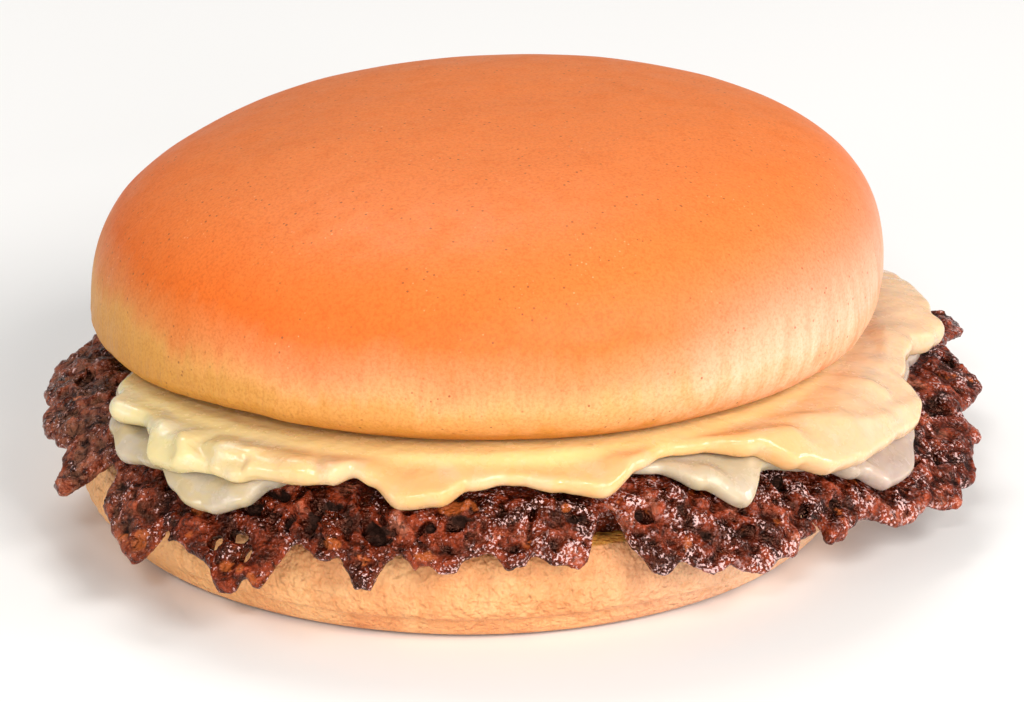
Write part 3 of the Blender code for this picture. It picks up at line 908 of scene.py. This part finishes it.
def spotShare(points, spots):
    # per point: how near it is to the middle of one of the spots on the drape, 1 to 0
    share = np.zeros(len(points))
    for angle, along, halfRound, halfAlong, *_ in spots:
        local = (points - np.array(onDrape(angle, along, 0))) @ np.array(surfaceFrame(angle, along))
        away = np.hypot(local[:, 0] / halfRound, local[:, 1] / halfAlong)
        for i in np.flatnonzero(away < 3):
            away[i] = max(0, away[i] + 0.75 * noise.noise(Vector(map(float, points[i])) / 0.0012))
        share = np.maximum(share, np.exp(-0.7 * away ** 2) * (np.abs(local[:, 2]) < 0.003))
    return share


def cragLift(angle, along):
    bare = smoothStep((along - coveredTo(angle) - patty["cragStart"]) / patty["cragRamp"])
    point = onDrape(angle, along, 0)
    crag = patty["cragDepth"] * (lumps(point, patty["cragSize"]) - 0.45 + 0.16 * noise.noise(point / 0.0022))
    crag += 0.0005 * (lumps(point, 0.0017) - 0.5)
    crag -= patty["crackDepth"] * smoothStep(1 - abs(noise.noise(point / 0.0062 + Vector((1, 8, 3)))) / 0.09)
    return bare, crag


def pattyBase():
    core, rows = patty["core"], spaced(0, 1, patty["rows"])
    profile = [(0, 1), (0.15, 1), (0.30, 1), (0.40, 1), (0.435, 1), (0.47, 1)]
    profile += [(core + (1 - core) * row, 1) for row in rows[:-1]]
    profile += [(1, 0.5), (1, 0), (1, -0.5)]
    profile += [(core + (1 - core) * row, -1) for row in reversed(rows[:-1:2])]
    profile += [(0.40, -1), (0.2, -1), (0, -1)]

    def place(share, angle, side):
        out = max(0.0, share - core) / (1 - core)
        along = out * skirtLength(angle)
        if share <= core:
            along = drape["shoulder"] * (share / core - 1)
        bare, crag = cragLift(angle, along)
        if side > 0.8:
            crag += weltHeight(angle, along)
        thickness = patty["rootThickness"] + (patty["edgeThickness"] - patty["rootThickness"]) * out
        if side > 0.8:
            lift = max(bare * crag - (1 - bare) * patty["cheeseSink"], -0.35 * thickness)
        elif side > -0.8:
            lift = -thickness * (0.62 - 0.5 * side)
            along += 0.0004 if side == 0 else 0.0002
        else:
            lift = -thickness - 0.25 * bare * max(0, crag)
        point = onDrape(angle, along, lift)
        if side < -0.8 and out <= 0.12:
            point.z = heelTopAt(point.y) + stack["gap"]
        if math.hypot(point.x, point.y) < stack["bunRadius"] + patty["heelClearance"]:
            least = heelTopAt(point.y) + stack["gap"] + (patty["leastThickness"] if side > 0.8 else 0)
            point.z = max(point.z, least)
        return point

    return spunMesh(profile, patty["steps"], place)


def nearHole(angle, along, margin):
    for centre, out, halfLength, halfWidth in patty["holes"]:
        across = math.radians((angle - centre + 180) % 360 - 180) * (drape["shoulder"] + 0.010)
        if math.hypot(across / (halfLength + margin), (along - out) / (halfWidth + margin)) < 1:
            return True
    return False


def lumpInto(bm, place, frameOfLump, size):
    made = bmesh.ops.create_icosphere(bm, subdivisions=1, radius=1, matrix=Matrix.Identity(4))
    seed = Vector((random.uniform(0, 50), random.uniform(0, 50), random.uniform(0, 50)))
    for vert in made["verts"]:
        swell = 1 + 0.35 * noise.noise(vert.co * 1.6 + seed)
        local = Vector((vert.co.x * size[0], vert.co.y * size[1], vert.co.z * size[2])) * swell
        vert.co = place + frameOfLump @ local


def surfaceFrame(angle, along):
    # columns: round the burger, down the skirt, out of the face
    a = math.radians(angle)
    out = (onDrape(angle, along, 0.001) - onDrape(angle, along, 0)).normalized()
    around = Vector((-math.sin(a), math.cos(a), 0))
    down = out.cross(around).normalized()
    return Matrix((around, down, out)).transposed()


def clearOfHeel(point, radius):
    if math.hypot(point.x, point.y) < stack["bunRadius"] + patty["heelClearance"] + radius:
        point.z = max(point.z, heelTopAt(point.y) + stack["gap"] + radius)
    return point


def strandMesh(count, kind):
    # a small batch at a time, because each operator call walks the whole bmesh
    batch = bmesh.new()
    made = 0
    while made < count:
        angle = random.uniform(0, 360)
        covered, length = coveredTo(angle), skirtLength(angle)
        first = max(covered + 0.0016, -0.001)
        if length - first < 0.0012:
            made += 0.2
            continue
        made += 1
        basis = Matrix.Identity(3)
        if kind == "strand":
            along = first + (length - first) * random.random()
            if nearHole(angle, along, 0.0016):
                continue
            thick = random.choice((0.0005, 0.0006, 0.0008, 0.0011, 0.0014)) * random.uniform(0.85, 1.15)
            stretch = min(0.0036, thick * random.choice((1.1, 1.6, 2.6, 4.0)))
            room = min(skirtLength(round(angle + turn, 1)) for turn in (-1.6, -0.8, 0, 0.8, 1.6)) - along
            if room < -0.0002:
                continue
            thick = min(thick, 0.0004 + 0.6 * max(0, room))
            stretch = min(stretch, max(thick, room))
            bare, crag = cragLift(angle, along)
            lift = bare * crag + weltHeight(angle, along) - 0.35 * thick
            place = clearOfHeel(onDrape(angle, along, lift), thick)
            heading = 1.3 + 2.4 * noise.noise(place / 0.010) + random.gauss(0, 0.35)
            spin = Matrix.Rotation(heading, 3, "Z") @ Matrix.Rotation(random.gauss(0, 0.25), 3, "Y")
            lumpInto(batch, place, surfaceFrame(angle, along) @ spin, (stretch, thick, thick * 0.9))
        else:
            heading = random.gauss(1.57, 0.8)
            along = length - 0.0010
            basis = surfaceFrame(angle, along)
            place = onDrape(angle, along, -0.0009)
            step = random.uniform(0.0007, 0.0011)
            for _ in range(random.choice((1, 2, 2, 3))):
                heading += random.gauss(0, 0.35)
                ahead = Vector((math.cos(heading), math.sin(heading), random.gauss(0, 0.2)))
                place = place + basis @ ahead * step
                thick = random.uniform(0.00042, 0.00070)
                lumpInto(batch, clearOfHeel(place.copy(), thick), basis, (thick * 1.3, thick * 1.3, thick))
    mesh = bpy.data.meshes.new("batch")
    batch.to_mesh(mesh)
    batch.free()
    return mesh


def holeCutters():
    bm = bmesh.new()
    for angle, along, halfLength, halfWidth in patty["holes"]:
        made = bmesh.ops.create_icosphere(bm, subdivisions=3, radius=1, matrix=Matrix.Identity(4))
        basis, middle = surfaceFrame(angle, along), onDrape(angle, along, -0.001)
        for vert in made["verts"]:
            swell = 1 + 0.35 * noise.noise(vert.co * 1.5 + Vector((angle, 0, 0)))
            size = Vector((vert.co.x * halfLength * swell, vert.co.y * halfWidth * swell, vert.co.z * 0.006))
            vert.co = middle + basis @ size
    mesh = bpy.data.meshes.new("holeCutters")
    bm.to_mesh(mesh)
    bm.free()
    cutters = bpy.data.objects.new("holeCutters", mesh)
    scene.collection.objects.link(cutters)
    return cutters


def evaluatedMesh(piece):
    graph = bpy.context.evaluated_depsgraph_get()
    return bpy.data.meshes.new_from_object(piece.evaluated_get(graph))


def baked(piece):
    old = piece.data
    piece.data = evaluatedMesh(piece)
    piece.modifiers.clear()
    bpy.data.meshes.remove(old)


def pointsOf(mesh, source="vertices", what="co"):
    flat = np.empty(len(mesh.vertices) * 3, np.float32)
    getattr(mesh, source).foreach_get(what, flat)
    return flat.reshape(-1, 3)


def roughenPatty(mesh):
    # mince grain and pits where the meat is bare; the covered middle stays smooth
    points, normals = pointsOf(mesh), pointsOf(mesh, "vertex_normals", "vector")
    pits = np.zeros(len(points))
    for pit in patty["pits"]:
        pits = np.maximum(pits, pit[4] * spotShare(points, [pit]) ** 1.5)
    pits[normals[:, 2] < -0.2] = 0
    radii = np.hypot(points[:, 0], points[:, 1])
    for i in np.flatnonzero(radii > 0.0475):
        point = Vector(map(float, points[i]))
        shift = 0.00022 * noise.noise(point / 0.0021)
        shift -= 0.00016 * abs(noise.noise(point / 0.0010 + Vector((3, 1, 4))))
        shift += 0.00009 * noise.noise(point / 0.00055 + Vector((1, 5, 9)))
        points[i] += normals[i] * ((shift - pits[i]) * smoothStep((radii[i] - 0.0475) / 0.003))
    mesh.vertices.foreach_set("co", points.reshape(-1))
    mesh.update()


def addShare(mesh, name, values):
    attribute = mesh.attributes.new(name, "FLOAT", "POINT")
    attribute.data.foreach_set("value", np.clip(values, 0, 1).astype(np.float32))


def reliefAttribute(mesh, rounds, reach):
    # how far each point stands out of the smoothed surface: below 0.5 in a hollow, above it on a crest
    count = len(mesh.vertices)
    points = pointsOf(mesh).astype(np.float64)
    ends = np.empty(len(mesh.edges) * 2, np.int32)
    mesh.edges.foreach_get("vertices", ends)
    first, second = ends.reshape(-1, 2).T
    degree = np.bincount(first, minlength=count) + np.bincount(second, minlength=count)
    smooth = points.copy()
    for _ in range(rounds):
        total = np.zeros_like(smooth)
        for axis in range(3):
            total[:, axis] = np.bincount(first, smooth[second, axis], count)
            total[:, axis] += np.bincount(second, smooth[first, axis], count)
        smooth = total / np.maximum(degree, 1)[:, None]
    height = ((points - smooth) * pointsOf(mesh, "vertex_normals", "vector")).sum(1)
    addShare(mesh, "standOut", 0.5 + 0.5 * height / reach)


def attributeOf(tree, name):
    node = tree.nodes.new("ShaderNodeAttribute")
    node.attribute_name = name
    return node.outputs["Fac"]


def pattyMaterial():
    material, tree, shader, coords = newMaterial(
        "searedBeef", Roughness=0.25, IOR=1.5, Specular_IOR_Level=0.42, Specular_Tint=(1.0, 0.42, 0.28, 1.0)
    )
    standOut = attributeOf(tree, "standOut")
    patches = grain(tree, coords, 0.0052, 4, 0.66, 0.4)
    fibres = grain(tree, coords, 0.0013, 4, 0.62, 0.6)
    colour = ramp(tree, patches, patty["colours"])
    tones = [(0.34, (0.14, 0.11, 0.10)), (0.49, (0.82, 0.80, 0.80)), (0.64, (1.25, 1.28, 1.32))]
    colour = tinted(tree, colour, ramp(tree, fibres, tones))
    # painted shade: darker down in the hollows, a little lighter on the crests
    paintedHollowShade = [(0.14, (0.12, 0.08, 0.07)), (0.42, (0.72, 0.68, 0.67)), (0.62, (1.10, 1.12, 1.14))]
    colour = tinted(tree, colour, ramp(tree, standOut, paintedHollowShade))
    # translucent orange places, by noise and by name
    spread = grain(tree, coords, 0.0012, 3, 0.6)
    browned = calc(tree, "MULTIPLY_ADD", spread, 0.9, attributeOf(tree, "browned"))
    browned = between(tree, browned, 0.90, 1.25, 0, 0.65)
    fat = between(tree, grain(tree, coords, 0.0040, 3, 0.6), 0.63, 0.70)
    fat = times(tree, fat, between(tree, fibres, 0.44, 0.58, 0, 0.7))
    colour = mixed(tree, calc(tree, "MAXIMUM", fat, browned), colour, patty["fatColour"])
    # painted sheen: paler, browner streaks along the fibres at the far left
    far = between(tree, axisOf(tree, coords, "X"), -0.038, -0.052)
    far = times(tree, far, between(tree, fibres, 0.40, 0.60))
    colour = mixed(tree, times(tree, far, 0.5), colour, patty["farSheenColour"])
    # painted glints: pale specks on the wet grains, closest together on the right
    wet = calc(tree, "MULTIPLY_ADD", attributeOf(tree, "wet"), 0.16, grain(tree, coords, 0.0032, 3, 0.6))
    side = between(tree, axisOf(tree, coords, "X"), -0.020, 0.020, 0.0, 0.060)
    paintedGlint = calc(tree, "ADD", grain(tree, coords, 0.00038, 2, 0.55), side)
    paintedGlint = calc(tree, "MULTIPLY_ADD", attributeOf(tree, "wet"), 0.050, paintedGlint)
    paintedGlint = between(tree, paintedGlint, 0.600, 0.666)
    paintedGlint = times(tree, paintedGlint, between(tree, wet, 0.44, 0.60, 0.10, 0.80))
    paintedGlint = times(tree, paintedGlint, between(tree, standOut, 0.36, 0.56))
    colour = mixed(tree, paintedGlint, colour, patty["glintColour"])
    # painted shade: near black down in the deep pits, rougher there too
    pitShade = between(tree, calc(tree, "MULTIPLY_ADD", fibres, 0.8, attributeOf(tree, "pit")), 0.85, 1.15)
    colour = mixed(tree, pitShade, colour, patty["pitShadeColour"])
    tree.links.new(colour, shader.inputs["Base Color"])
    rough = between(tree, wet, 0.40, 0.60, 0.34, 0.14)
    put(tree, shader.inputs["Roughness"], calc(tree, "MULTIPLY_ADD", pitShade, 0.45, rough))
    relief(tree, shader, [
        (grain(tree, coords, 0.0011, 2, 0.5, 0.3), 0.0011, 0.85),
        (grain(tree, coords, 0.00050, 1, 0.5), 0.00036, 0.9),
    ])
    return material


def makePatty():
    bm = pattyBase()
    mesh = bpy.data.meshes.new("pattyCrust")
    bm.to_mesh(mesh)
    bm.free()
    piece = bpy.data.objects.new("pattyCrust", mesh)
    scene.collection.objects.link(piece)
    cutters = holeCutters()
    cut = piece.modifiers.new("Lace", "BOOLEAN")
    cut.object = cutters
    cut.solver = "EXACT"
    baked(piece)
    bpy.data.objects.remove(cutters)

    together = bmesh.new()
    together.from_mesh(piece.data)
    for kind, total in (("strand", patty["strands"]), ("twig", patty["twigs"])):
        for _ in range(math.ceil(total / 75)):
            batch = strandMesh(75, kind)
            together.from_mesh(batch)
            bpy.data.meshes.remove(batch)
    together.to_mesh(piece.data)
    together.free()

    skin = piece.modifiers.new("OneSkin", "REMESH")
    skin.mode = "VOXEL"
    skin.voxel_size = patty["voxel"]
    baked(piece)
    print("patty skin", len(piece.data.polygons), "faces")
    roughenPatty(piece.data)
    thin = piece.modifiers.new("Thin", "DECIMATE")
    thin.ratio = min(1.0, patty["mostTriangles"] / (2 * len(piece.data.polygons)))
    baked(piece)
    reliefAttribute(piece.data, 14, 0.00035)
    for share, spots in (("pit", "pits"), ("browned", "browned"), ("wet", "wet")):
        addShare(piece.data, share, spotShare(pointsOf(piece.data), patty[spots]))
    piece.data.materials.clear()
    piece.data.materials.append(pattyMaterial())
    piece.data.shade_smooth()
    finishPiece(piece, "patty")


# put together

setUpStudio()
makeFloor()
print("studio ready")
makeHeel()
makePatty()
makeCheese()
makeCrown(stack["pattyTop"] + 3 * stack["gap"] + lowerCheese["thickness"] + upperCheese["thickness"])
print("burger built")
